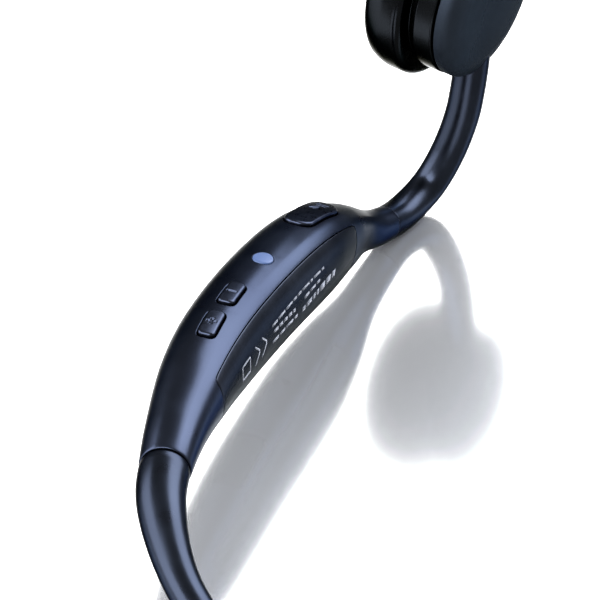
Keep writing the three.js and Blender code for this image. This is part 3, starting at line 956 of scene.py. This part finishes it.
FOAM_AT = 40
FOAM_MIDDLE = 3.3
FOAM_SIZE = (0.6, 18, 4)


def foam_pad():
    """A sheet of foam that is squeezed thinner towards its edges."""
    point, outward, up = frames_at(np.array([JOINT_AT + FOAM_AT]))
    forward = np.cross(up, outward)
    long_half, tall_half = FOAM_SIZE[1] / 2, FOAM_SIZE[2] / 2
    lines = filled([-1, 1], 0.1), filled([-1, 1], 0.2)
    x, y = np.meshgrid(*lines, indexing="ij")
    shrink = 1 - 0.04 * (x**4 + y**4)
    thick = FOAM_SIZE[0] / 2 * (1 - 0.35 * np.maximum(np.abs(x), np.abs(y)) ** 6)

    def place(x, y, side):
        return point + forward * x[:, None] + up * y[:, None] + outward * (FOAM_MIDDLE + side)[:, None]

    skin = Skin(place)
    faces = [skin.points(x * shrink * long_half, y * shrink * tall_half, side * thick) for side in (1, -1)]
    for grid in faces:
        skin.quads(grid)
    i, j = border(0, x.shape[0] - 1, 0, x.shape[1] - 1)
    skin.bridge(faces[0][i, j], faces[1][i, j])
    return skin.piece("battery_pad", levels=1)


foam = add(foam_pad(), "left_side", "foam", "battery_foam")

# ------------------------------------------------------------------ ear hooks

HOOK_START = JOINT_AT + POD_LENGTH + 0.03
HOOK_WALL = 0.9


def hook_tube(from_rear, angle, depth):
    return section_point(from_rear, angle, HOOK_RADIUS, HOOK_RADIUS, 2, depth)


HOOK_CLEARANCE = 0.04
PAD_OUTLINE = rounded_outline(PAD)
PAD_SIDE = PAD_OUTLINE[PAD_OUTLINE[:, 1].argmin() :]
PAD_SIDE = PAD_SIDE[PAD_SIDE[:, 0] > NECK_RADIUS - 4]
PAD_SIDE = PAD_SIDE[PAD_SIDE[:, 1].argsort(kind="stable")]


def drum_radius(height):
    """The drum's radius at places along its axis, over the ring and the pad."""
    return np.interp(height, [RING_BACK, 0, *PAD_SIDE[:, 1]], [RING_RADIUS, RING_RADIUS, *PAD_SIDE[:, 0]])


def hook_length(angle, depth):
    """How far each line of the sleeve runs before it meets the drum."""
    steps = np.arange(HOOK_END - 6, HOOK_END + 8, 0.02)
    tried = hook_tube(steps[:, None], angle, depth) - DRUM_CENTRE
    height = tried @ FACING
    reach = np.linalg.norm(tried - height[..., None] * FACING, axis=-1)
    return steps[np.argmax(reach < drum_radius(height) + HOOK_CLEARANCE, axis=0)]


def hook_sleeve(side):
    def place(share, angle, depth):
        ends = hook_length(angle, depth)
        plain = HOOK_START + (HOOK_END - HOOK_START) * share
        return hook_tube(plain + (ends - HOOK_END) * smoothstep(share, 0.8, 1), angle, depth)

    rows = filled([0, 0.003, 0.997, 1], 0.022)
    columns = np.linspace(0, 2 * np.pi, 40, endpoint=False)
    lips = (TIGHT_LIP, LIP)
    return shell(f"{side}_hook_skin", place, rows, columns, (), HOOK_WALL, lips, SIGN[side], levels=1)


for side in SIGN:
    add(hook_sleeve(side), BODY[side], "soft_sleeve", f"{side}_ear_hook_sleeve")

# ------------------------------------------------------------------ stage, light and camera


FLOOR_RADIUS = 6
FLOOR_DROP = 0.00005


def floor():
    """A pale glossy table top, which shows a faint mirror image."""
    bm = bmesh.new()
    bmesh.ops.create_circle(bm, cap_ends=True, segments=96, radius=FLOOR_RADIUS)
    mesh = bpy.data.meshes.new("floor")
    bm.to_mesh(mesh)
    bm.free()
    plane = bpy.data.objects.new("floor", mesh)
    plane.location.z = -FLOOR_DROP
    bpy.context.scene.collection.objects.link(plane)
    made = bpy.data.materials.new("floor")
    made.use_nodes = True
    shader = made.node_tree.nodes["Principled BSDF"]
    shader.inputs["Base Color"].default_value = (0.14, 0.137, 0.128, 1)
    shader.inputs["Roughness"].default_value = 0.13
    shader.inputs["IOR"].default_value = 4
    mesh.materials.append(made)
    plane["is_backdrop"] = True
    return plane


COOL = (0.9, 0.96, 1.12)
WHITE = (1, 1, 1)
LIGHTS_MIDDLE = Vector((-0.05, 0, 0.02))


def area_light(name, azimuth, elevation, size, strength, color=COOL, distance=1.0, only=None):
    """A soft box that faces the object, and lights everything or one thing only.

    azimuth is from +Y towards +X, and strength sets its power for its area.
    """
    turn, rise = math.radians(azimuth), math.radians(elevation)
    way = Vector((math.sin(turn) * math.cos(rise), math.cos(turn) * math.cos(rise), math.sin(rise)))
    data = bpy.data.lights.new(name, "AREA")
    data.shape = "RECTANGLE"
    data.size, data.size_y = size
    data.color = color
    data.energy = strength * math.pi * size[0] * size[1]
    lamp = bpy.data.objects.new(name, data)
    lamp.location = LIGHTS_MIDDLE + way * distance
    lamp.rotation_euler = way.to_track_quat("Z", "Y").to_euler()
    bpy.context.scene.collection.objects.link(lamp)
    if only:
        lit = bpy.data.collections.new(f"{name}_lights")
        lit.objects.link(only)
        lamp.light_linking.receiver_collection = lit


def world(color, strength):
    made = bpy.data.worlds.new("studio")
    made.use_nodes = True
    ground = made.node_tree.nodes["Background"]
    ground.inputs["Color"].default_value = (*color, 1)
    ground.inputs["Strength"].default_value = strength
    bpy.context.scene.world = made


CAMERA_TURN = math.radians(24)
CAMERA_RISE = math.radians(35)
CAMERA_DISTANCE = 450
CAMERA_TARGET = (-61.4, 4.3, 13)
CAMERA_LENS = 189


def camera():
    look = Vector(
        (
            -math.sin(CAMERA_TURN) * math.cos(CAMERA_RISE),
            math.cos(CAMERA_TURN) * math.cos(CAMERA_RISE),
            -math.sin(CAMERA_RISE),
        )
    )
    data = bpy.data.cameras.new("camera")
    data.lens = CAMERA_LENS
    data.clip_start = 0.01
    made = bpy.data.objects.new("camera", data)
    made.location = (Vector(CAMERA_TARGET) - look * CAMERA_DISTANCE) * MM
    made.rotation_euler = look.to_track_quat("-Z", "Y").to_euler()
    bpy.context.scene.collection.objects.link(made)
    bpy.context.scene.camera = made


plane = floor()
world(WHITE, 0.55)
area_light("rear_box", 28, 37, (1.2, 0.9), 15)
area_light("left_box", -115, 25, (0.9, 0.8), 11)
area_light("front_box", -177, 37, (0.85, 0.65), 15)
area_light("floor_card", -24, 37, (1.6, 1.2), 8, WHITE, distance=1.5, only=plane)
camera()
bpy.context.scene.view_settings.view_transform = "Standard"

[[list(map(float, corner)) for corner in box] for box in (cad_box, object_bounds())]
